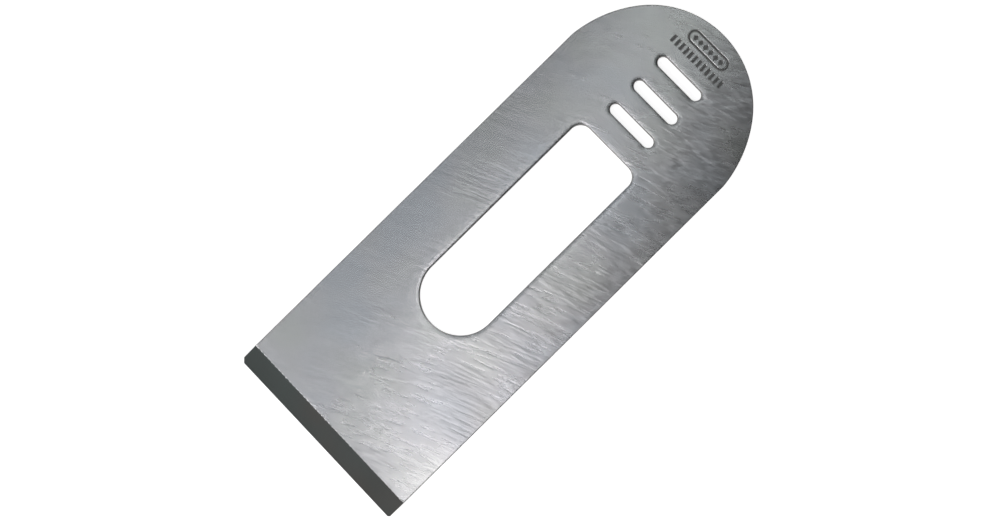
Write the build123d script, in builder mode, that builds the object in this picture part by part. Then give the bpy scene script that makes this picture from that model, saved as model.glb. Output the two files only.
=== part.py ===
"""Block-plane iron: the flat steel blade of a small hand plane, as one loose piece.

Frame: the flat bed face lies on z = 0 and the bevel faces up (+Z). +Y runs from the
cutting edge to the rounded end, +X across the width. The origin is the middle of the
blade's plan box, on the bed face. All sizes are in millimetres.
"""

from build123d import *
import os
from math import cos, radians, sin, tan

# Strip that the iron is cut from: 1 5/8 in wide
blade_width = 41.275
blade_length = 110.8  # overall, from the longer corner of the cutting edge to the crown
blade_thickness = 1.9

# Rounded end: a crown arc, then a flatter shoulder arc down to each long side
crown_inset = 1.04  # how much smaller the crown's radius is than half the width
crown_half_angle = 54  # degrees from the centreline to the end of the crown arc

# Cutting end
bevel_angle = 25
edge_land = 0.03  # flat that is left at the very edge by the factory grind
edge_skew = 1.5  # degrees that the grind is out of square, lower at +X
short_corner_nip = 0.8  # how much the corners of the cutting edge are broken
long_corner_nip = 0.35

# Slot that the lever cap's screw passes through
screw_slot_width = 15.4
screw_slot_length = 47.9
screw_slot_corner = 2.5
screw_slot_setback = 31.0  # from its square end to the crown

# Cross slots that the depth adjuster hooks into
adjuster_slot_count = 3
adjuster_slot_length = 11.0
adjuster_slot_width = 2.4
adjuster_slot_pitch = 6.45
adjuster_slot_setback = 12.0  # from the last slot's middle to the crown

# Edges left by punching and deburring
rim_chamfer = 0.15
slot_rim_radius = 0.2

# Stamped mark: an oval ring around a row of lozenges, over a row of short strokes
mark_depth = 0.12
mark_setback = 4.2  # from the oval's middle to the crown
mark_length = 10.0
mark_width = 2.8
mark_line = 0.35
lozenge_count = 6
lozenge_pitch = 1.35
lozenge_length = 0.9
lozenge_width = 1.3
stroke_count = 12
stroke_pitch = 1.15
stroke_width = 0.45
stroke_length = 1.5
stroke_row_setback = 7.3  # from the strokes' middle to the crown

# Places worked out from the sizes above
half_width = blade_width / 2
crown_tip_y = blade_length / 2
side_end_y = crown_tip_y - half_width
long_corner_y = -blade_length / 2
short_corner_y = long_corner_y + blade_width * tan(radians(edge_skew))
edge_middle = (0, (long_corner_y + short_corner_y) / 2, 0)
crown_radius = half_width - crown_inset
crown_centre_y = crown_tip_y - crown_radius
crown_end_x = crown_radius * sin(radians(crown_half_angle))
crown_end_y = crown_centre_y + crown_radius * cos(radians(crown_half_angle))
crown_fall = (cos(radians(crown_half_angle)), -sin(radians(crown_half_angle)))
bevel_rise = blade_thickness - edge_land
bevel_run = bevel_rise / tan(radians(bevel_angle))
screw_slot_end_y = crown_tip_y - screw_slot_setback
screw_slot_round_y = screw_slot_end_y - screw_slot_length + screw_slot_width / 2
adjuster_slots_y = (
    crown_tip_y
    - adjuster_slot_setback
    - adjuster_slot_pitch * (adjuster_slot_count - 1) / 2
)
mark_y = crown_tip_y - mark_setback
stroke_row_y = crown_tip_y - stroke_row_setback

# Plane square to the cutting edge: its X runs into the blade and its Y straight up
grind_plane = Plane(
    origin=edge_middle,
    x_dir=(sin(radians(edge_skew)), cos(radians(edge_skew)), 0),
    z_dir=(cos(radians(edge_skew)), -sin(radians(edge_skew)), 0),
)


with BuildPart() as plane_iron:
    # Blank: square corners at the cutting end, rounded at the other
    with BuildSketch(Plane.XY) as outline:
        with BuildLine():
            front = Line((-half_width, short_corner_y), (half_width, long_corner_y))
            right_side = Line(front @ 1, (half_width, side_end_y))
            right_shoulder = TangentArc(
                (crown_end_x, crown_end_y), right_side @ 1, tangent=crown_fall
            )
            mirror(right_shoulder, about=Plane.YZ)
            CenterArc(
                (0, crown_centre_y),
                crown_radius,
                90 - crown_half_angle,
                2 * crown_half_angle,
            )
            Line((-half_width, side_end_y), front @ 0)
        make_face()
        chamfer(outline.vertices().sort_by(Axis.Y)[0], length=long_corner_nip)
        left_side = outline.vertices().group_by(Axis.X)[0]
        chamfer(left_side.sort_by(Axis.Y)[0], length=short_corner_nip)
    extrude(amount=blade_thickness)

    # Deburred rims of both faces, all round but for the cutting end
    rims = plane_iron.faces().filter_by(Axis.Z).edges()
    chamfer(
        rims.filter_by(lambda edge: edge.center().Y > short_corner_y + short_corner_nip),
        length=rim_chamfer,
    )

    # Punched slots, with the rims that the punch drew down on the upper face
    with BuildSketch(Plane.XY) as slots:
        with Locations((0, screw_slot_end_y)):
            Rectangle(
                screw_slot_width,
                screw_slot_end_y - screw_slot_round_y,
                align=(Align.CENTER, Align.MAX),
            )
        fillet(slots.vertices().group_by(Axis.Y)[-1], radius=screw_slot_corner)
        with Locations((0, screw_slot_round_y)):
            Circle(screw_slot_width / 2)
        with Locations((0, adjuster_slots_y)):
            with GridLocations(0, adjuster_slot_pitch, 1, adjuster_slot_count):
                SlotOverall(adjuster_slot_length, adjuster_slot_width)
    extrude(amount=blade_thickness, mode=Mode.SUBTRACT)
    upper_face = plane_iron.faces().sort_by(Axis.Z)[-1]
    fillet(upper_face.inner_wires().edges(), radius=slot_rim_radius)

    # Ground bevel, from the land at the cutting edge up to the upper face
    with BuildSketch(grind_plane) as bevel_waste:
        with BuildLine():
            Polyline(
                (-bevel_run, edge_land - bevel_rise),
                (2 * bevel_run, edge_land + 2 * bevel_rise),
                (-bevel_run, edge_land + 2 * bevel_rise),
                close=True,
            )
        make_face()
    extrude(amount=blade_width, both=True, mode=Mode.SUBTRACT)

    # Stamped mark
    with BuildSketch(Plane.XY.offset(blade_thickness)) as mark:
        with Locations((0, mark_y)):
            SlotOverall(mark_length, mark_width)
            SlotOverall(
                mark_length - 2 * mark_line,
                mark_width - 2 * mark_line,
                mode=Mode.SUBTRACT,
            )
            with GridLocations(lozenge_pitch, 0, lozenge_count, 1):
                with BuildLine():
                    Polyline(
                        (lozenge_length / 2, 0),
                        (0, lozenge_width / 2),
                        (-lozenge_length / 2, 0),
                        (0, -lozenge_width / 2),
                        close=True,
                    )
                make_face()
        with Locations((0, stroke_row_y)):
            with GridLocations(stroke_pitch, 0, stroke_count, 1):
                Rectangle(stroke_width, stroke_length)
    extrude(amount=-mark_depth, mode=Mode.SUBTRACT)

plane_iron.part.label = "plane_iron"
os.makedirs("parts", exist_ok=True)
export_step(plane_iron.part, "parts/plane_iron.step")
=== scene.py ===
"""Block-plane iron: the visual model of a loose steel plane blade, built round its CAD node.

The iron lies on its flat bed face. +Y runs from the cutting edge to the rounded end, +X
across the width and +Z out of the bevelled face. Sizes in the classes are millimetres,
and the mesh is made in metres.
"""

import logging
import math
from dataclasses import dataclass, field, replace
from enum import Enum

import bmesh
import bpy
import numpy as np
from mathutils import Matrix, Vector
from mathutils.geometry import delaunay_2d_cdt


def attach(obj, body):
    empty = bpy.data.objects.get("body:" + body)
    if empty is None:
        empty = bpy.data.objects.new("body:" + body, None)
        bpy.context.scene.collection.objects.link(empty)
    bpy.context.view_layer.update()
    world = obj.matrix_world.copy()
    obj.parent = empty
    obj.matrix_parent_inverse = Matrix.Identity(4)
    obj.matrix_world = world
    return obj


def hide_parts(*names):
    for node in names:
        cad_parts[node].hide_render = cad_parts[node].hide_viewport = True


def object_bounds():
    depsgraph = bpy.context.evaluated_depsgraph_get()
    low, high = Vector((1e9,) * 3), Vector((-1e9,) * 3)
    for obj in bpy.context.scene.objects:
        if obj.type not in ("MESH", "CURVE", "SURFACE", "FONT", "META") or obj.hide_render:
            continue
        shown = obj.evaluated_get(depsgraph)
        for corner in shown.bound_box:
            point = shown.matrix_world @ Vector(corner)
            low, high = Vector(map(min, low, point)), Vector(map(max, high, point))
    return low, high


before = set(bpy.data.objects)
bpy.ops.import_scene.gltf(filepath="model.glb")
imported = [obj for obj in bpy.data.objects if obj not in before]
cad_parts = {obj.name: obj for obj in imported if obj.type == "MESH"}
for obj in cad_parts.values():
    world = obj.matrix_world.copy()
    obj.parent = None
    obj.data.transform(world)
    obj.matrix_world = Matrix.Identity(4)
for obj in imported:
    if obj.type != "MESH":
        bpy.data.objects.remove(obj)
cad_low, cad_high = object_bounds()

log = logging.getLogger("plane_iron")

MM = 0.001
CAD_NODE = "plane_iron"
BODY = "root"
TANGENT_MAP = "grind_direction"

Tree = bpy.types.NodeTree
Socket = bpy.types.NodeSocket
Place = np.ndarray | tuple[float, float]
RingPoints = tuple[np.ndarray, np.ndarray]  # a ring's plan and its points' numbers


class Surface(Enum):
    """The finishes of the iron, numbered as its material slots."""

    FACE = 0
    BEVEL = 1
    EDGE = 2
    STRUCK = 3
    BED = 4


def linear(hex_colour: str) -> tuple[float, float, float, float]:
    """Turns an sRGB hex colour into linear light.

    Args:
        hex_colour: six hex digits.

    Returns:
        Linear red, green and blue, and an alpha of 1.
    """
    channels = [int(hex_colour[i : i + 2], 16) / 255 for i in (0, 2, 4)]
    toe = 0.04045
    rgb = [c / 12.92 if c <= toe else ((c + 0.055) / 1.055) ** 2.4 for c in channels]
    return (*rgb, 1.0)


def add_node(
    tree: Tree, kind: str, settings: dict | None = None, links: dict | None = None
) -> bpy.types.Node:
    """Adds a node with its settings, input values and incoming links.

    Args:
        tree: the node tree that gets the node.
        kind: the node's type name.
        settings: values by the name of a node attribute or else of an input.
        links: output sockets by the name or the number of the input that they feed.

    Returns:
        The new node.
    """
    node = tree.nodes.new(kind)
    for name, value in (settings or {}).items():
        if hasattr(node, name):
            setattr(node, name, value)
        else:
            node.inputs[name].default_value = value
    for name, socket in (links or {}).items():
        tree.links.new(socket, node.inputs[name])
    return node


def set_stops(ramp: bpy.types.ColorRamp, stops: list[tuple[float, str]]) -> None:
    """Fills a colour ramp.

    Args:
        ramp: the ramp, which comes with two stops of its own.
        stops: place and hex colour of each stop, lowest first.
    """
    for number, (place, colour) in enumerate(stops):
        own = number < len(ramp.elements)
        stop = ramp.elements[number] if own else ramp.elements.new(place)
        stop.position, stop.color = place, linear(colour)


def new_material(name: str, settings: dict) -> tuple[bpy.types.Material, Tree, bpy.types.Node]:
    """Makes a node material that holds only a shader.

    Args:
        name: the material's name.
        settings: values by the name of the shader's input.

    Returns:
        The material, its tree and its Principled shader, linked to the output.
    """
    material = bpy.data.materials.new(name)
    material.use_nodes = True
    tree = material.node_tree
    tree.nodes.clear()
    shader = add_node(tree, "ShaderNodeBsdfPrincipled", settings)
    add_node(tree, "ShaderNodeOutputMaterial", links={"Surface": shader.outputs["BSDF"]})
    return material, tree, shader


# ---- plan outlines


def line_points(start: Place, end: Place, step: float) -> np.ndarray:
    """Points along a straight run, its end left out.

    Args:
        start: first point.
        end: last point, which the next run begins with.
        step: largest distance between points.

    Returns:
        An array of points, one row each.
    """
    way = np.subtract(end, start)
    count = max(1, math.ceil(np.hypot(*way) / step))
    return start + way * np.arange(count)[:, None] / count


def arc_points(centre: Place, radius: float, start: float, end: float, step: float) -> np.ndarray:
    """Points along an arc, its end left out.

    Args:
        centre: the arc's centre.
        radius: the arc's radius.
        start: first angle in radians, from +X towards +Y.
        end: last angle in radians, less than start for a clockwise arc.
        step: largest distance between points.

    Returns:
        An array of points, one row each.
    """
    count = max(2, math.ceil(abs(end - start) * radius / step))
    angle = start + (end - start) * np.arange(count) / count
    return centre + radius * np.stack([np.cos(angle), np.sin(angle)], axis=1)


def offset(loop: np.ndarray, distance: float | np.ndarray) -> np.ndarray:
    """Moves a closed loop to its left, with mitred corners.

    Args:
        loop: points of a closed loop, walked with the metal on the left.
        distance: how far to move, one number or one for each point.

    Returns:
        The moved points.
    """
    ahead = np.roll(loop, -1, axis=0) - loop
    ahead /= np.hypot(ahead[:, 0], ahead[:, 1])[:, None]
    left = np.stack([-ahead[:, 1], ahead[:, 0]], axis=1)
    both = left + np.roll(left, 1, axis=0)
    mitre = both / (both * left).sum(axis=1)[:, None]
    return loop + mitre * np.reshape(distance, (-1, 1))


def inside(points: np.ndarray, loops: list[np.ndarray]) -> np.ndarray:
    """Tells which points lie in the metal between closed loops.

    Args:
        points: the points to test.
        loops: the outer loop and the loops of the holes.

    Returns:
        True for each point that an odd number of the loops encloses.
    """
    crossings = np.zeros(len(points), int)
    for loop in loops:
        for (ax, ay), (bx, by) in zip(loop, np.roll(loop, -1, axis=0)):
            spans = (ay > points[:, 1]) != (by > points[:, 1])
            if spans.any():
                reach = ax + (points[spans, 1] - ay) * (bx - ax) / (by - ay)
                crossings[spans] += points[spans, 0] < reach
    return crossings % 2 == 1


@dataclass(frozen=True)
class Grind:
    """The ground bevel and the line of the cutting edge."""

    thickness: float
    middle_y: float
    angle: float = 25.0
    land: float = 0.03
    skew: float = 1.5
    hollow: float = 0.02
    burnish: float = 0.05

    @property
    def run(self) -> float:
        """Distance from the cutting edge to the shoulder, in plan."""
        return (self.thickness - self.land) / math.tan(math.radians(self.angle))

    def inland(self, points: np.ndarray) -> np.ndarray:
        """How far each plan point lies behind the cutting edge."""
        skew = math.radians(self.skew)
        return points[:, 0] * math.sin(skew) + (points[:, 1] - self.middle_y) * math.cos(skew)

    def height(self, points: np.ndarray) -> np.ndarray:
        """Height of the upper surface over plan points, with the bevel ground a little hollow."""
        share = np.clip(self.inland(points) / self.run, 0, 1)
        slope = self.land + (self.thickness - self.land) * share
        return slope - 4 * self.hollow * share * (1 - share)

    def line_at(self, inland: float, half_width: float) -> tuple[np.ndarray, np.ndarray]:
        """Where a line parallel to the cutting edge meets the two long sides.

        Args:
            inland: the line's distance behind the cutting edge.
            half_width: half the iron's width.

        Returns:
            The points on the left and right sides.
        """
        skew = math.radians(self.skew)
        middle = self.middle_y + inland / math.cos(skew)
        rise = half_width * math.tan(skew)
        return np.array([-half_width, middle + rise]), np.array([half_width, middle - rise])


@dataclass(frozen=True)
class BladeOutline:
    """The iron's outer outline: straight sides, a skewed cutting edge and a rounded end."""

    width: float
    length: float
    crown_inset: float = 1.04
    crown_half_angle: float = 54.0
    short_corner_nip: float = 0.8
    long_corner_nip: float = 0.35
    step: float = 0.45

    def loop(self, grind: Grind) -> np.ndarray:
        """Walks the outline anticlockwise.

        Args:
            grind: the bevel, whose shoulder puts points on the sides.

        Returns:
            The outline's points.
        """
        half = self.width / 2
        tip = self.length / 2
        left_corner, right_corner = grind.line_at(0.0, half)
        along_edge = (right_corner - left_corner) / np.hypot(*(right_corner - left_corner))
        up = np.array([0.0, 1.0])
        short_nip, long_nip = self.short_corner_nip, self.long_corner_nip
        shoulders = [grind.line_at(grind.run + d, half) for d in (-grind.burnish, grind.burnish)]
        corners = [
            left_corner + short_nip * along_edge,
            right_corner - long_nip * along_edge,
            right_corner + long_nip * up,
            shoulders[0][1],
            shoulders[1][1],
            np.array([half, tip - half]),
        ]
        pieces = [line_points(a, b, self.step) for a, b in zip(corners, corners[1:])]
        pieces += self.rounded_end(half, tip)
        corners = [
            np.array([-half, tip - half]),
            shoulders[1][0],
            shoulders[0][0],
            left_corner + short_nip * up,
            corners[0],
        ]
        pieces += [line_points(a, b, self.step) for a, b in zip(corners, corners[1:])]
        return np.concatenate(pieces)

    def rounded_end(self, half: float, tip: float) -> list[np.ndarray]:
        """Walks the rounded end from the right side to the left one.

        Args:
            half: half the width.
            tip: y of the crown's highest point.

        Returns:
            The points of the right shoulder, the crown and the left shoulder.
        """
        phi = math.radians(self.crown_half_angle)
        crown_radius = half - self.crown_inset
        crown_centre = np.array([0.0, tip - crown_radius])
        outward = np.array([math.sin(phi), math.cos(phi)])
        joint = crown_centre + crown_radius * outward
        span = joint - np.array([half, tip - half])
        radius = span @ span / (2 * outward @ span)
        centre = joint - radius * outward
        foot = math.atan2(tip - half - centre[1], half - centre[0])
        top = math.pi / 2 - phi
        shoulder = arc_points(centre, radius, foot, top, self.step)
        crown = arc_points(crown_centre, crown_radius, top, math.pi - top, self.step)
        mirrored = centre * np.array([-1.0, 1.0])
        far_shoulder = arc_points(mirrored, radius, math.pi - top, math.pi - foot, self.step)
        return [shoulder, crown, far_shoulder]


@dataclass(frozen=True)
class ScrewSlot:
    """The long slot for the lever cap's screw: one round end, one square end."""

    end_y: float
    width: float = 15.4
    length: float = 47.9
    corner: float = 2.5
    step: float = 0.35

    def loop(self) -> np.ndarray:
        """Walks the slot clockwise, with the metal on the left.

        Returns:
            The slot's points.
        """
        half, quarter = self.width / 2, math.pi / 2
        inner = half - self.corner
        round_y, corner_y = self.end_y - self.length + half, self.end_y - self.corner
        pieces = [
            line_points((-half, round_y), (-half, corner_y), self.step),
            arc_points((-inner, corner_y), self.corner, 2 * quarter, quarter, self.step),
            line_points((-inner, self.end_y), (inner, self.end_y), self.step),
            arc_points((inner, corner_y), self.corner, quarter, 0.0, self.step),
            line_points((half, corner_y), (half, round_y), self.step),
            arc_points((0.0, round_y), half, 0.0, -2 * quarter, self.step),
        ]
        return np.concatenate(pieces)


@dataclass(frozen=True)
class CrossSlot:
    """A slot with two round ends that runs across the iron."""

    middle: tuple[float, float]
    length: float
    width: float
    step: float = 0.12

    def loop(self) -> np.ndarray:
        """Walks the slot clockwise, with the metal on the left.

        Returns:
            The slot's points.
        """
        x, y = self.middle
        radius = self.width / 2
        reach = self.length / 2 - radius
        quarter = math.pi / 2
        left, right = np.array([x - reach, y]), np.array([x + reach, y])
        up = np.array([0.0, radius])
        pieces = [
            arc_points(left, radius, 3 * quarter, quarter, self.step),
            line_points(left + up, right + up, 3 * self.step),
            arc_points(right, radius, quarter, -quarter, self.step),
            line_points(right - up, left - up, 3 * self.step),
        ]
        return np.concatenate(pieces)


# ---- mesh building


@dataclass(frozen=True)
class Rim:
    """How an edge of the iron turns from a face into its wall."""

    upper_radius: float
    lower_radius: float
    drawn_depth: float = 0.0
    drawn_reach: float = 0.25
    steps: int = 4

    def rings(self, height: np.ndarray) -> list["Ring"]:
        """Lists the rings of points that lead from the upper face down to the lower one.

        Args:
            height: thickness of the metal at each point of the edge.

        Returns:
            The rings, the upper face's first.
        """
        thin = 0.35
        support = 0.1
        draw_in_steps = (1.0, 0.7, 0.45, 0.2)
        level = np.zeros(len(height))
        upper = np.minimum(self.upper_radius, thin * height)
        lower = np.minimum(self.lower_radius, thin * height)
        found = []
        for share in draw_in_steps:
            drop = level + self.drawn_depth * (1 - share) ** 2
            found.append(Ring(upper + share * self.drawn_reach, drop, Surface.FACE))
        turns = [math.pi / 2 * step / self.steps for step in range(self.steps + 1)]
        for turn in turns:
            drop = self.drawn_depth + upper * (1 - math.cos(turn))
            found.append(Ring(upper * (1 - math.sin(turn)), drop, Surface.FACE))
        for turn in reversed(turns):
            rise = lower * (1 - math.cos(turn))
            found.append(Ring(lower * (1 - math.sin(turn)), rise, Surface.BED))
        found.append(Ring(lower + support, level, Surface.BED))
        return found


@dataclass(frozen=True)
class Ring:
    """Points all round an edge: how far each lies from it, and from the face it belongs to."""

    inset: np.ndarray
    away: np.ndarray
    face: Surface


@dataclass
class MeshDraft:
    """Vertices and faces of a mesh in the making, in millimetres."""

    points: list[np.ndarray] = field(default_factory=list)
    faces: list[tuple[int, ...]] = field(default_factory=list)
    surfaces: list[Surface] = field(default_factory=list)
    count: int = 0

    def add_points(self, plan: np.ndarray, height: np.ndarray) -> np.ndarray:
        """Adds points.

        Args:
            plan: x and y of each point.
            height: z of each point.

        Returns:
            The points' numbers.
        """
        self.points.append(np.column_stack([plan, height]))
        numbers = np.arange(self.count, self.count + len(plan))
        self.count += len(plan)
        return numbers

    def add_faces(self, corners: np.ndarray, surfaces: list[Surface]) -> None:
        """Adds faces.

        Args:
            corners: point numbers, one row for each face.
            surfaces: the finish of each face.
        """
        self.faces.extend(tuple(int(number) for number in row) for row in corners)
        self.surfaces.extend(surfaces)

    def build(self, name: str) -> bpy.types.Object:
        """Turns the draft into an object, smooth shaded and in metres.

        Args:
            name: the object's name.

        Returns:
            The new object, linked to the scene.
        """
        mesh = bpy.data.meshes.new(name)
        mesh.from_pydata(np.concatenate(self.points) * MM, [], self.faces)
        mesh.polygons.foreach_set("material_index", [s.value for s in self.surfaces])
        mesh.polygons.foreach_set("use_smooth", [True] * len(self.faces))
        mesh.update()
        piece = bpy.data.objects.new(name, mesh)
        bpy.context.scene.collection.objects.link(piece)
        return piece


@dataclass(frozen=True)
class Crease:
    """A run of points in a face that triangles may not cross, and how far it stands proud."""

    points: np.ndarray
    relief: float = 0.0


@dataclass(frozen=True)
class Filling:
    """Triangles that fill a flat region."""

    plan: np.ndarray
    relief: np.ndarray
    ring_point: np.ndarray
    triangles: np.ndarray


def fill(rings: list[np.ndarray], creases: list[Crease], loose: np.ndarray) -> Filling:
    """Triangulates the metal between closed rings.

    Args:
        rings: the outer ring and the rings of the holes, which the triangles end on.
        creases: runs that triangles may not cross.
        loose: further points.

    Returns:
        The triangles, wound anticlockwise, over points that each have a place, a relief
        and the number of the ring point that they stand on, or -1.
    """
    points, edges, relief, start = [], [], [], 0
    for ring in rings:
        numbers = np.arange(start, start + len(ring))
        edges += list(zip(numbers.tolist(), np.roll(numbers, -1).tolist()))
        points.append(ring)
        relief.append(np.zeros(len(ring)))
        start += len(ring)
    on_rings = start
    for crease in creases:
        numbers = list(range(start, start + len(crease.points)))
        edges += list(zip(numbers, numbers[1:]))
        points.append(crease.points)
        relief.append(np.full(len(crease.points), crease.relief))
        start += len(crease.points)
    points.append(loose)
    relief.append(np.zeros(len(loose)))
    tolerance = 1e-5
    given = [Vector(point) for point in np.concatenate(points)]
    made = delaunay_2d_cdt(given, edges, [], 0, tolerance)
    plan = np.array([tuple(vertex) for vertex in made[0]])
    triangles = np.array(made[2])
    (ax, ay), (bx, by), (cx, cy) = (plan[corner].T for corner in triangles.T)
    area = ((bx - ax) * (cy - ay) - (cx - ax) * (by - ay)) / 2
    sliver = 1e-4
    kept = inside(plan[triangles].mean(axis=1), rings) & (area > sliver)
    heights = np.concatenate(relief)
    first = [min(source, default=-1) for source in made[3]]
    return Filling(
        plan=plan,
        relief=np.array([heights[number] if number >= 0 else 0.0 for number in first]),
        ring_point=np.array([number if 0 <= number < on_rings else -1 for number in first]),
        triangles=triangles[kept],
    )


def staggered_grid(low: np.ndarray, high: np.ndarray, pitch: float) -> np.ndarray:
    """Points in staggered rows over a rectangle.

    Args:
        low: the rectangle's lowest corner.
        high: the rectangle's highest corner.
        pitch: distance between points.

    Returns:
        The points.
    """
    row_pitch = pitch * math.sqrt(3) / 2
    rows = []
    for number, y in enumerate(np.arange(low[1], high[1], row_pitch)):
        xs = np.arange(low[0] + pitch / 2 * (number % 2), high[0], pitch)
        rows.append(np.column_stack([xs, np.full(len(xs), y)]))
    return np.concatenate(rows)


def clear_of(points: np.ndarray, others: np.ndarray, distance: float) -> np.ndarray:
    """Keeps the points that are at least a distance from every other point.

    Args:
        points: the points to choose from.
        others: the points to keep clear of.
        distance: the least distance.

    Returns:
        The kept points.
    """
    nearest = np.full(len(points), np.inf)
    for other in others:
        nearest = np.minimum(nearest, np.hypot(*(points - other).T))
    return points[nearest >= distance]


# ---- stamped mark


@dataclass(frozen=True)
class StampedMark:
    """A plain struck pattern: an oval ring round a row of lozenges, over a row of strokes."""

    ring_y: float
    strokes_y: float
    depth: float = 0.12
    ring_length: float = 10.0
    ring_width: float = 2.8
    line: float = 0.35
    lozenges: int = 6
    lozenge_pitch: float = 1.35
    lozenge_size: tuple[float, float] = (0.9, 1.3)
    strokes: int = 12
    stroke_pitch: float = 1.15
    stroke_size: tuple[float, float] = (0.45, 1.5)

    def outlines(self) -> list[np.ndarray]:
        """Lists the closed outlines of what is struck, each with the raised metal on its left.

        Returns:
            The outlines.
        """
        middle = (0.0, self.ring_y)
        outer = CrossSlot(middle, self.ring_length, self.ring_width).loop()
        inner = CrossSlot(
            middle, self.ring_length - 2 * self.line, self.ring_width - 2 * self.line
        ).loop()
        found = [outer, inner[::-1]]
        rows = [
            (self.lozenge, self.lozenges, self.lozenge_pitch, self.ring_y),
            (self.stroke, self.strokes, self.stroke_pitch, self.strokes_y),
        ]
        for shape, count, pitch, y in rows:
            xs = [(number - (count - 1) / 2) * pitch for number in range(count)]
            found += [shape(np.array([x, y])) for x in xs]
        return found

    def lozenge(self, middle: np.ndarray) -> np.ndarray:
        """Walks a lozenge clockwise round its middle."""
        half_x, half_y = np.array(self.lozenge_size) / 2
        corners = [(-half_x, 0), (0, half_y), (half_x, 0), (0, -half_y)]
        return middle + np.array(corners)

    def stroke(self, middle: np.ndarray) -> np.ndarray:
        """Walks an upright stroke clockwise round its middle."""
        half_x, half_y = np.array(self.stroke_size) / 2
        corners = [(-half_x, -half_y), (-half_x, half_y), (half_x, half_y), (half_x, -half_y)]
        return middle + np.array(corners)

    def creases(self) -> list[Crease]:
        """Lists the creases of the struck recesses, whose rims are rounded over.

        The section across a rim runs from the flat down to the floor of the recess: how far
        out each crease lies from the outline, and how high it stands.

        Returns:
            The creases.
        """
        section = [(0.12, 0.0), (0.04, -0.012), (0.0, -0.04), (-0.05, -self.depth)]
        found = []
        for outline in self.outlines():
            for outward, relief in section:
                moved = offset(outline, outward)
                found.append(Crease(np.concatenate([moved, moved[:1]]), relief))
        return found

    def keep_out(self) -> tuple[np.ndarray, np.ndarray]:
        """The lowest and highest corners of the rectangle that the mark needs to itself.

        Returns:
            Both corners.
        """
        margin = 0.5
        across = max(self.ring_length, self.strokes * self.stroke_pitch) / 2 + margin
        low = self.strokes_y - self.stroke_size[1] / 2 - margin
        high = self.ring_y + self.ring_width / 2 + margin
        return np.array([-across, low]), np.array([across, high])


# ---- finishes


def drawn_noise(
    tree: Tree,
    turned: Socket,
    length: float,
    pitch: float,
    settings: dict,
    start: tuple[float, float, float] = (0.0, 0.0, 0.0),
) -> Socket:
    """Noise drawn out along the grind.

    Args:
        tree: the material's tree.
        turned: place in millimetres, with X along the grind.
        length: how long its marks are, in millimetres.
        pitch: how far apart its marks are, in millimetres.
        settings: the noise's own settings.
        start: where in the noise the grind begins.

    Returns:
        The noise, from 0 to 1.
    """
    scale = (1 / length, 1 / pitch, 1 / pitch)
    drawn = add_node(
        tree, "ShaderNodeMapping", {"Scale": scale, "Location": start}, {"Vector": turned}
    ).outputs["Vector"]
    settings = {"Scale": 1.0, "Detail": 1.0} | settings
    return add_node(tree, "ShaderNodeTexNoise", settings, {"Vector": drawn}).outputs["Fac"]


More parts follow.
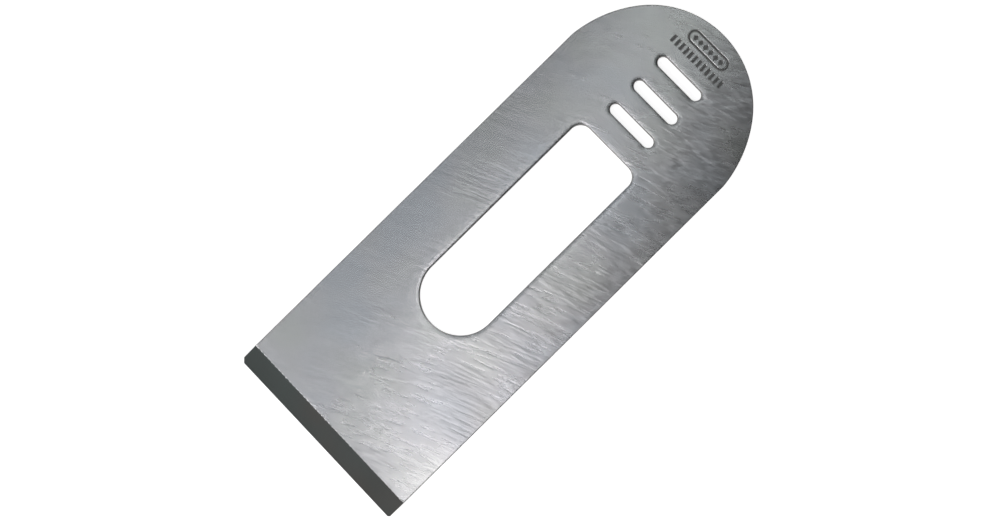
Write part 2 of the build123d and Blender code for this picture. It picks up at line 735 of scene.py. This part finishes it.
@dataclass(frozen=True)
class GroundSteel:
    """Hardened tool steel, ground or linished: fine parallel scratches in one direction.

    The wheel or belt leaves short broken streaks along its travel. They spread each
    highlight across the streaks, and a thin oil film tints the grey by patches. The streaks
    are drawn coarser than single scratches, as the bundles that the eye makes out.
    """

    name: str
    colour: str
    film_cool: str
    film_warm: str
    roughness: float
    anisotropy: float
    grind_angle: float
    streak_length: float
    streak_pitch: float
    streak_height: float
    grit_pitch: float
    grit_height: float
    wave_pitch: float = 4.5
    wave_height: float = 0.03
    left_bite: float = 1.0
    wander: float = 0.3

    def material(self) -> bpy.types.Material:
        """Makes the node material.

        Returns:
            The material.
        """
        grit_stretch, grit_wander = 8, 0.2
        settings = {"Metallic": 1.0, "Anisotropic": self.anisotropy}
        material, tree, shader = new_material(self.name, settings)
        place = add_node(tree, "ShaderNodeTexCoord").outputs["Object"]
        turned = add_node(
            tree,
            "ShaderNodeMapping",
            {
                "Scale": (1 / MM, 1 / MM, 1 / MM),
                "Rotation": (0, 0, -math.radians(self.grind_angle)),
            },
            {"Vector": place},
        ).outputs["Vector"]
        tangent = add_node(
            tree, "ShaderNodeTangent", {"direction_type": "UV_MAP", "uv_map": TANGENT_MAP}
        ).outputs["Tangent"]
        tree.links.new(tangent, shader.inputs["Tangent"])
        tree.links.new(self.film(tree, turned), shader.inputs["Base Color"])
        wavering = {"Distortion": self.wander}
        streaks = drawn_noise(tree, turned, self.streak_length, self.streak_pitch, wavering)
        wavering = {"Distortion": grit_wander}
        grit_length = grit_stretch * self.grit_pitch
        grit = drawn_noise(tree, turned, grit_length, self.grit_pitch, wavering)
        patches = self.patches(tree, place, turned)
        tree.links.new(self.dulling(tree, streaks, patches), shader.inputs["Roughness"])
        tree.links.new(self.relief(tree, turned, streaks, grit, patches), shader.inputs["Normal"])
        return material

    def patches(self, tree: Tree, place: Socket, turned: Socket) -> Socket:
        """Where the belt bit harder: soft patches, weaker towards the left side.

        Args:
            tree: the material's tree.
            place: place in metres.
            turned: place in millimetres, with X along the grind.

        Returns:
            The share, from 0 to 1.
        """
        along, across = 15.0, 9.0
        light_x, firm_x = -20.0, 14.0
        noise = drawn_noise(tree, turned, along, across, {"Detail": 0.0})
        wide = {"From Min": 0.15, "From Max": 0.7}
        spread = add_node(tree, "ShaderNodeMapRange", wide, {"Value": noise})
        x = add_node(tree, "ShaderNodeSeparateXYZ", links={"Vector": place}).outputs["X"]
        pressed = add_node(
            tree,
            "ShaderNodeMapRange",
            {
                "interpolation_type": "SMOOTHSTEP",
                "From Min": light_x * MM,
                "From Max": firm_x * MM,
                "To Min": self.left_bite,
            },
            {"Value": x},
        )
        factors = {0: spread.outputs["Result"], 1: pressed.outputs["Result"]}
        both = add_node(tree, "ShaderNodeMath", {"operation": "MULTIPLY"}, factors)
        return both.outputs["Value"]

    def film(self, tree: Tree, turned: Socket) -> Socket:
        """The steel's colour, cooler and warmer by patches where the oil film is thicker.

        Args:
            tree: the material's tree.
            turned: place in millimetres, with X along the grind.

        Returns:
            The colour.
        """
        reach, start = 16.0, (3.1, 7.7, 0.0)
        cloudy = {"Detail": 2.0, "Roughness": 0.45}
        noise = drawn_noise(tree, turned, reach, reach, cloudy, start)
        ramp = add_node(tree, "ShaderNodeValToRGB", links={"Fac": noise})
        tints = [(0.36, self.film_cool), (0.5, self.colour), (0.64, self.film_warm)]
        set_stops(ramp.color_ramp, tints)
        return ramp.outputs["Color"]

    def dulling(self, tree: Tree, streaks: Socket, patches: Socket) -> Socket:
        """Roughness that rises a little in the streaks and in the patches.

        Args:
            tree: the material's tree.
            streaks: the streak noise.
            patches: the patch noise.

        Returns:
            The roughness.
        """
        spread = 0.05
        both = add_node(
            tree, "ShaderNodeMath", {"operation": "ADD"}, {0: streaks, 1: patches}
        )
        limits = {"To Min": self.roughness - spread, "To Max": self.roughness + spread}
        limits["From Max"] = 2.0
        total = {"Value": both.outputs["Value"]}
        return add_node(tree, "ShaderNodeMapRange", limits, total).outputs["Result"]

    def relief(
        self, tree: Tree, turned: Socket, streaks: Socket, grit: Socket, patches: Socket
    ) -> Socket:
        """The surface's own relief: streaks where the belt bit, grit and a faint waviness.

        Args:
            tree: the material's tree.
            turned: place in millimetres, with X along the grind.
            streaks: the streak noise.
            grit: the grit noise.
            patches: the patch noise.

        Returns:
            The bumped normal.
        """
        wave_stretch = 2.5
        wave_length = wave_stretch * self.wave_pitch
        wavering = {"Distortion": self.wander}
        waves = drawn_noise(tree, turned, wave_length, self.wave_pitch, wavering)
        about_zero = {"To Min": -0.5, "To Max": 0.5}
        level = add_node(tree, "ShaderNodeMapRange", about_zero, {"Value": streaks})
        factors = {0: level.outputs["Result"], 1: patches}
        gated = add_node(tree, "ShaderNodeMath", {"operation": "MULTIPLY"}, factors)
        layers = [
            (waves, self.wave_height),
            (gated.outputs["Value"], self.streak_height),
            (grit, self.grit_height),
        ]
        normal = None
        for height, deep in layers:
            links = {"Height": height} | ({"Normal": normal} if normal else {})
            settings = {"Strength": 1.0, "Distance": deep * MM}
            normal = add_node(tree, "ShaderNodeBump", settings, links).outputs["Normal"]
        return normal


@dataclass(frozen=True)
class ScaledSteel:
    """Tool steel as the press sheared or struck it: dull, with grey heat scale left on; on the
    sheared walls its darker grey is partly painted shade.
    """

    name: str
    colour: str
    scale_and_shade_colour: str
    grain_pitch: float
    grain_height: float = 0.01
    roughness: float = 0.5
    roughness_spread: float = 0.1

    def material(self) -> bpy.types.Material:
        """Makes the node material.

        Returns:
            The material.
        """
        material, tree, shader = new_material(self.name, {"Metallic": 1.0})
        place = add_node(tree, "ShaderNodeTexCoord").outputs["Object"]
        grain = add_node(
            tree,
            "ShaderNodeTexNoise",
            {"Scale": 1 / (self.grain_pitch * MM), "Detail": 3.0, "Roughness": 0.6},
            {"Vector": place},
        ).outputs["Fac"]
        ramp = add_node(tree, "ShaderNodeValToRGB", links={"Fac": grain})
        set_stops(ramp.color_ramp, [(0.35, self.scale_and_shade_colour), (0.7, self.colour)])
        spread = self.roughness_spread
        limits = {"To Min": self.roughness + spread, "To Max": self.roughness - spread}
        rough = add_node(tree, "ShaderNodeMapRange", limits, {"Value": grain})
        deep = {"Strength": 1.0, "Distance": self.grain_height * MM}
        bump = add_node(tree, "ShaderNodeBump", deep, {"Height": grain})
        tree.links.new(ramp.outputs["Color"], shader.inputs["Base Color"])
        tree.links.new(rough.outputs["Result"], shader.inputs["Roughness"])
        tree.links.new(bump.outputs["Normal"], shader.inputs["Normal"])
        return material


# ---- the iron


@dataclass
class PlaneIron:
    """The loose iron: one plate with a bevel, four slots, a rounded end and a struck mark."""

    width: float
    length: float
    thickness: float
    screw_slot_setback: float = 31.0
    adjuster_slot_setback: float = 12.0
    adjuster_slot_pitch: float = 6.45
    adjuster_slot_size: tuple[float, float] = (11.0, 2.4)
    adjuster_slots: int = 3
    mark_setback: float = 4.2
    stroke_row_setback: float = 7.3
    ground_rim: Rim = Rim(upper_radius=0.15, lower_radius=0.15)
    punched_rim: Rim = Rim(
        upper_radius=0.2, lower_radius=0.06, drawn_depth=0.03, drawn_reach=0.8
    )
    face_pitch: float = 1.6
    bed_pitch: float = 3.0
    grind_angle: float = 22.0
    bevel_grind_angle: float = 88.0

    def grind(self) -> Grind:
        """The bevel, whose edge runs from the corner at the iron's full length."""
        straight = Grind(self.thickness, 0.0)
        rise = self.width / 2 * math.tan(math.radians(straight.skew))
        return Grind(self.thickness, rise - self.length / 2)

    def mark(self) -> StampedMark:
        """The struck mark, near the rounded end."""
        tip = self.length / 2
        return StampedMark(tip - self.mark_setback, tip - self.stroke_row_setback)

    def edges(self, grind: Grind) -> list[tuple[np.ndarray, Rim]]:
        """Lists the outline and the slots, each with its rim.

        Args:
            grind: the bevel.

        Returns:
            The loops and their rims, the outline's first.
        """
        tip = self.length / 2
        found = [(BladeOutline(self.width, self.length).loop(grind), self.ground_rim)]
        found.append((ScrewSlot(tip - self.screw_slot_setback).loop(), self.punched_rim))
        for number in range(self.adjuster_slots):
            y = tip - self.adjuster_slot_setback - number * self.adjuster_slot_pitch
            slot = CrossSlot((0.0, y), *self.adjuster_slot_size)
            found.append((slot.loop(), self.punched_rim))
        return found

    def build(self) -> bpy.types.Object:
        """Builds the iron's mesh, with its finishes and maps.

        Returns:
            The iron.
        """
        grind = self.grind()
        draft = MeshDraft()
        tops, beds = [], []
        for loop, rim in self.edges(grind):
            top, bed = self.add_edge(draft, grind, loop, rim)
            tops.append(top)
            beds.append(bed)
        self.add_face(draft, grind, tops)
        self.add_bed(draft, beds)
        iron = draft.build("plane_iron_body")
        self.map_grind(iron)
        self.crisp_mark(iron)
        iron.modifiers.new("face_weighted_normals", "WEIGHTED_NORMAL").keep_sharp = True
        return iron

    def add_edge(
        self, draft: MeshDraft, grind: Grind, loop: np.ndarray, rim: Rim
    ) -> tuple[RingPoints, RingPoints]:
        """Adds the rim and the wall of one edge.

        Args:
            draft: the mesh.
            grind: the bevel.
            loop: the edge, walked with the metal on its left.
            rim: how the edge is rounded.

        Returns:
            The first ring, on the face, and the last one, on the bed.
        """
        rows = []
        rings = rim.rings(grind.height(loop))
        for ring in rings:
            plan = offset(loop, ring.inset)
            level = grind.height(plan) - ring.away if ring.face is Surface.FACE else ring.away
            rows.append((plan, draft.add_points(plan, level)))
        steep = 0.55
        for upper, lower, above, below in zip(rings, rings[1:], rows, rows[1:]):
            corners = np.column_stack(
                [below[1], np.roll(below[1], -1), np.roll(above[1], -1), above[1]]
            )
            run = np.abs(upper.inset - lower.inset)
            drop = np.abs(upper.away - lower.away)
            walls = (upper.face is not lower.face) | (drop > steep * (run + drop))
            on_bevel = grind.inland((above[0] + np.roll(above[0], -1, axis=0)) / 2) < grind.run
            surfaces = [
                Surface.EDGE
                if wall
                else Surface.BEVEL
                if bevel and upper.face is Surface.FACE
                else upper.face
                for wall, bevel in zip(walls, on_bevel)
            ]
            draft.add_faces(corners, surfaces)
        return rows[0], rows[-1]

    def add_face(self, draft: MeshDraft, grind: Grind, rings: list[RingPoints]) -> None:
        """Adds the upper face: the flat, the bevel and the struck mark.

        Args:
            draft: the mesh.
            grind: the bevel.
            rings: the rings that the face ends on.
        """
        mark = self.mark()
        plans = [plan for plan, _ in rings]
        shoulder = [
            Crease(self.crease_across(plans[0], grind, grind.run + d))
            for d in (-grind.burnish, grind.burnish)
        ]
        loose = self.loose_points(grind, plans, mark)
        filled = fill(plans, shoulder + mark.creases(), loose)
        numbers = self.numbered(draft, rings, filled, grind.height(filled.plan) + filled.relief)
        middles = filled.plan[filled.triangles].mean(axis=1)
        on_bevel = grind.inland(middles) < grind.run
        struck = inside(middles, mark.outlines())
        surfaces = [
            Surface.STRUCK if hit else Surface.BEVEL if bevel else Surface.FACE
            for hit, bevel in zip(struck, on_bevel)
        ]
        draft.add_faces(numbers[filled.triangles], surfaces)

    def add_bed(self, draft: MeshDraft, rings: list[RingPoints]) -> None:
        """Adds the flat face that the iron beds on.

        Args:
            draft: the mesh.
            rings: the rings that the bed ends on.
        """
        plans = [plan for plan, _ in rings]
        corner = np.array([self.width, self.length]) / 2
        loose = staggered_grid(-corner, corner, self.bed_pitch)
        loose = loose[inside(loose, plans)]
        loose = clear_of(loose, np.concatenate(plans), self.bed_pitch / 3)
        filled = fill(plans, [], loose)
        numbers = self.numbered(draft, rings, filled, np.zeros(len(filled.plan)))
        flipped = numbers[filled.triangles][:, ::-1]
        draft.add_faces(flipped, [Surface.BED] * len(flipped))

    @staticmethod
    def numbered(
        draft: MeshDraft, rings: list[RingPoints], filled: Filling, height: np.ndarray
    ) -> np.ndarray:
        """Gives a filling's points numbers in the mesh, those on rings the rings' own.

        Args:
            draft: the mesh.
            rings: the rings that the filling ends on.
            filled: the filling.
            height: z of each of its points.

        Returns:
            The points' numbers in the mesh.
        """
        ring_numbers = np.concatenate([numbers for _, numbers in rings])
        on_ring = filled.ring_point >= 0
        numbers = np.empty(len(filled.plan), int)
        numbers[on_ring] = ring_numbers[filled.ring_point[on_ring]]
        numbers[~on_ring] = draft.add_points(filled.plan[~on_ring], height[~on_ring])
        return numbers

    @staticmethod
    def crease_across(outer: np.ndarray, grind: Grind, inland: float) -> np.ndarray:
        """Points from one side to the other, along a line behind the cutting edge.

        Args:
            outer: the outer ring, whose nearest points the line starts and ends on.
            grind: the bevel.
            inland: the line's distance behind the cutting edge.

        Returns:
            The points.
        """
        spacing = 1.0
        ends = []
        for side in (-1, 1):
            limb = outer[outer[:, 0] * side > 0]
            ends.append(limb[np.argmin(np.abs(grind.inland(limb) - inland))])
        start, end = ends
        return np.vstack([line_points(start, end, spacing), end])

    def loose_points(
        self, grind: Grind, plans: list[np.ndarray], mark: StampedMark
    ) -> np.ndarray:
        """Points over the flat and, in closer rows, over the bevel.

        Args:
            grind: the bevel.
            plans: the rings that the face ends on.
            mark: the struck mark, which gets none.

        Returns:
            The points.
        """
        corner = np.array([self.width, self.length]) / 2
        flat = staggered_grid(-corner, corner, self.face_pitch)
        flat = flat[grind.inland(flat) > grind.run + self.face_pitch / 2]
        low, high = mark.keep_out()
        flat = flat[~((flat > low) & (flat < high)).all(axis=1)]
        rows = 8
        bevel = []
        for number in range(1, rows):
            left, right = grind.line_at(grind.run * number / rows, self.width / 2)
            bevel.append(line_points(left, right, grind.run / rows * 2))
        points = np.concatenate([flat, *bevel])
        points = points[inside(points, plans)]
        return clear_of(points, np.concatenate(plans), grind.run / rows / 2)

    def crisp_mark(self, iron: bpy.types.Object) -> None:
        """Keeps the flat face's shading flat right up to the struck mark.

        Args:
            iron: the iron.
        """
        flat = 1e-6
        low, high = self.mark().keep_out()
        draft = bmesh.new()
        draft.from_mesh(iron.data)
        for edge in draft.edges:
            middle = (edge.verts[0].co + edge.verts[1].co) / 2 / MM
            near = low[0] < middle.x < high[0] and low[1] < middle.y < high[1]
            level = [face.normal.z > 1 - flat for face in edge.link_faces]
            if near and middle.z > self.thickness / 2 and any(level) and not all(level):
                edge.smooth = False
        draft.to_mesh(iron.data)
        draft.free()

    def map_grind(self, iron: bpy.types.Object) -> None:
        """Gives the iron a map whose U runs across the grind, for the highlights to follow.

        Args:
            iron: the iron.
        """
        mesh = iron.data
        plan = np.array([mesh.vertices[loop.vertex_index].co[:2] for loop in mesh.loops])
        finish = np.array([polygon.material_index for polygon in mesh.polygons])
        sides = np.array([polygon.loop_total for polygon in mesh.polygons])
        on_bevel = np.repeat(finish == Surface.BEVEL.value, sides)
        angle = np.radians(np.where(on_bevel, self.bevel_grind_angle, self.grind_angle))
        x, y = plan.T
        across = y * np.cos(angle) - x * np.sin(angle)
        along = x * np.cos(angle) + y * np.sin(angle)
        reach = self.length * MM
        middle = 0.5
        uv = np.column_stack([across, -along]) / reach + middle
        layer = mesh.uv_layers.new(name=TANGENT_MAP)
        layer.data.foreach_set("uv", uv.ravel())

    def dress(self, iron: bpy.types.Object) -> None:
        """Gives the iron its finishes, in the order of Surface.

        Args:
            iron: the iron.
        """
        for finish in self.finishes():
            iron.data.materials.append(finish.material())

    def finishes(self) -> list[GroundSteel | ScaledSteel]:
        """Lists the finishes in the order of Surface.

        Returns:
            The finishes.
        """
        # A belt runs across the face: satin grey, with a soft glow drawn out along the iron
        face = GroundSteel(
            name="linished_tool_steel",
            colour="C5C6C6",
            film_cool="C2C5C7",
            film_warm="C5C7C4",
            roughness=0.27,
            anisotropy=0.85,
            grind_angle=self.grind_angle,
            streak_length=5.0,
            streak_pitch=0.75,
            streak_height=0.085,
            grit_pitch=0.2,
            grit_height=0.002,
            left_bite=0.32,
        )
        # A coarse wheel cuts the bevel towards its edge: duller than the face, with a darker grey
        # than the face's steel that is painted shade for a bevel tilted away from the lights
        bevel = GroundSteel(
            name="wheel_ground_bevel_steel_painted_shade",
            # painted shade: these three greys darken the bevel's own steel below the face's
            colour="747876",
            film_cool="707775",
            film_warm="787875",
            roughness=0.4,
            anisotropy=0.6,
            grind_angle=self.bevel_grind_angle,
            streak_length=3.0,
            streak_pitch=0.2,
            streak_height=0.0015,
            grit_pitch=0.08,
            grit_height=0.0008,
        )
        # A press shears the outline and the slots: rough walls, darkened partly by heat scale and
        # partly by painted shade so that they show as thin dark lines
        edge = ScaledSteel(
            name="sheared_steel_edge_scale_and_painted_shade",
            # partly painted shade: these greys darken the sheared walls beyond their heat scale
            colour="8F8E8B",
            scale_and_shade_colour="6A6966",
            grain_pitch=0.35,
        )
        # Stamps leave the recesses dull, as no belt reaches their floors
        struck = ScaledSteel(
            name="struck_scaled_steel",
            colour="A3A3A1",
            scale_and_shade_colour="7C7C7A",
            grain_pitch=0.25,
        )
        # A surface grinder trues the bed: flat and even, with long fine lines
        bed = replace(
            face,
            name="surface_ground_bed_steel",
            colour="C6C5C3",
            roughness=0.33,
            anisotropy=0.6,
            streak_length=12.0,
            streak_pitch=0.35,
            streak_height=0.006,
            grit_pitch=0.12,
            grit_height=0.0015,
            left_bite=1.0,
        )
        return [face, bevel, edge, struck, bed]


# ---- the studio


@dataclass(frozen=True)
class Softbox:
    """A rectangular light that faces a point on the table, in millimetres.

    Its brightness is its radiance, where 1 is as bright as white paper in full light.
    """

    name: str
    place: tuple[float, float, float]
    size: tuple[float, float]
    brightness: float
    colour: str
    aim: tuple[float, float, float] = (0.0, 0.0, 0.0)

    def build(self) -> None:
        """Adds the light, unseen by the camera itself."""
        data = bpy.data.lights.new(self.name, "AREA")
        data.shape = "RECTANGLE"
        data.size, data.size_y = (side * MM for side in self.size)
        data.color = linear(self.colour)[:3]
        data.energy = math.pi * data.size * data.size_y * self.brightness
        light = bpy.data.objects.new(self.name, data)
        bpy.context.scene.collection.objects.link(light)
        way = Vector(self.aim) - Vector(self.place)
        light.rotation_euler = way.to_track_quat("-Z", "Y").to_euler()
        light.location = Vector(self.place) * MM
        light.visible_camera = False


@dataclass(frozen=True)
class Studio:
    """The pale table, the lights and the camera."""

    floor_gap: float = 0.05
    floor_reach: float = 6000.0
    floor_colour: str = "F4F4F4"
    floor_glow: float = 0.85
    sky: tuple[tuple[float, str], ...] = ((0.22, "FFFFFF"), (0.6, "5A5A5A"), (0.85, "1C1C1C"))
    view_turn: float = 45.4
    view_lean: float = 2.7
    distance: float = 600.0
    field: float = 191.6
    target: tuple[float, float, float] = (0.73, -5.86, 1.0)
    sensor: float = 36.0

    def build(self) -> None:
        """Builds the whole studio."""
        self.build_floor()
        self.build_sky()
        for softbox in self.softboxes():
            softbox.build()
        self.build_camera()
        view = bpy.context.scene.view_settings
        view.view_transform = "Standard"
        view.look = "None"

    def build_floor(self) -> None:
        """Lays a matt white table top, lit from within so that it stays pale."""
        reach = self.floor_reach * MM
        level = cad_low[2] - self.floor_gap * MM
        mesh = bpy.data.meshes.new("table_top")
        corners = [(-reach, -reach), (reach, -reach), (reach, reach), (-reach, reach)]
        mesh.from_pydata([(x, y, level) for x, y in corners], [], [(0, 1, 2, 3)])
        table = bpy.data.objects.new("table_top", mesh)
        bpy.context.scene.collection.objects.link(table)
        settings = {
            "Base Color": linear(self.floor_colour),
            "Roughness": 0.9,
            "Specular IOR Level": 0.1,
            "Emission Color": linear("FFFFFF"),
            "Emission Strength": self.floor_glow,
        }
        mesh.materials.append(new_material("matt_white_laminate", settings)[0])

    def build_sky(self) -> None:
        """Surrounds the table with light that fades from the horizon up."""
        world = bpy.data.worlds.new("studio_walls")
        world.use_nodes = True
        tree = world.node_tree
        tree.nodes.clear()
        way = add_node(tree, "ShaderNodeTexCoord").outputs["Generated"]
        up = add_node(tree, "ShaderNodeSeparateXYZ", links={"Vector": way}).outputs["Z"]
        fade = add_node(tree, "ShaderNodeValToRGB", links={"Fac": up})
        set_stops(fade.color_ramp, list(self.sky))
        back = add_node(
            tree, "ShaderNodeBackground", {"Strength": 1.0}, {"Color": fade.outputs["Color"]}
        )
        add_node(
            tree, "ShaderNodeOutputWorld", links={"Surface": back.outputs["Background"]}
        )
        bpy.context.scene.world = world

    def softboxes(self) -> list[Softbox]:
        """Lists the lights.

        Returns:
            The lights.
        """
        return [
            Softbox("key_softbox", (46, -71, 400), (35, 95), 5.0, "FFFAFE"),
            Softbox("front_bar", (-50, -245, 400), (210, 90), 6.0, "FFFBFE"),
            Softbox("near_fill", (2, -108, 400), (84, 80), 1.35, "F9FAFF"),
            Softbox("left_bar", (-124, 40, 400), (48, 330), 0.8, "EAF5FE"),
            Softbox("top_fill", (-22, 130, 400), (30, 120), 1.8, "F4FAFC"),
        ]

    def build_camera(self) -> None:
        """Sets the camera over the table, turned so that the iron points up to the right."""
        turn, lean = math.radians(self.view_turn), math.radians(self.view_lean)
        back = Vector((0.0, -math.sin(lean), math.cos(lean)))
        right = Vector((math.cos(turn), math.sin(turn), 0.0))
        right = (right - right.dot(back) * back).normalized()
        up = back.cross(right)
        pose = Matrix((right, up, back)).transposed().to_4x4()
        pose.translation = (Vector(self.target) + self.distance * back) * MM
        data = bpy.data.cameras.new("bench_camera")
        data.sensor_width = self.sensor
        data.lens = self.sensor * self.distance / self.field
        data.clip_start, data.clip_end = 0.01, 50.0
        camera = bpy.data.objects.new("bench_camera", data)
        camera.matrix_world = pose
        bpy.context.scene.collection.objects.link(camera)
        bpy.context.scene.camera = camera


def main() -> None:
    """Builds the studio and the iron, sized from the CAD node, and logs the iron's face count."""
    logging.basicConfig(level=logging.INFO, format="%(name)s: %(message)s")
    Studio().build()
    log.info("studio: table, lights and camera")
    width, length, thickness = (2 * cad_high[0] / MM, 2 * cad_high[1] / MM, cad_high[2] / MM)
    plan = PlaneIron(width, length, thickness)
    iron = plan.build()
    plan.dress(iron)
    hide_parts(CAD_NODE)
    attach(iron, BODY)
    log.info("%s: %d faces", iron.name, len(iron.data.polygons))
    bpy.context.view_layer.update()


if __name__ == "__main__":
    main()
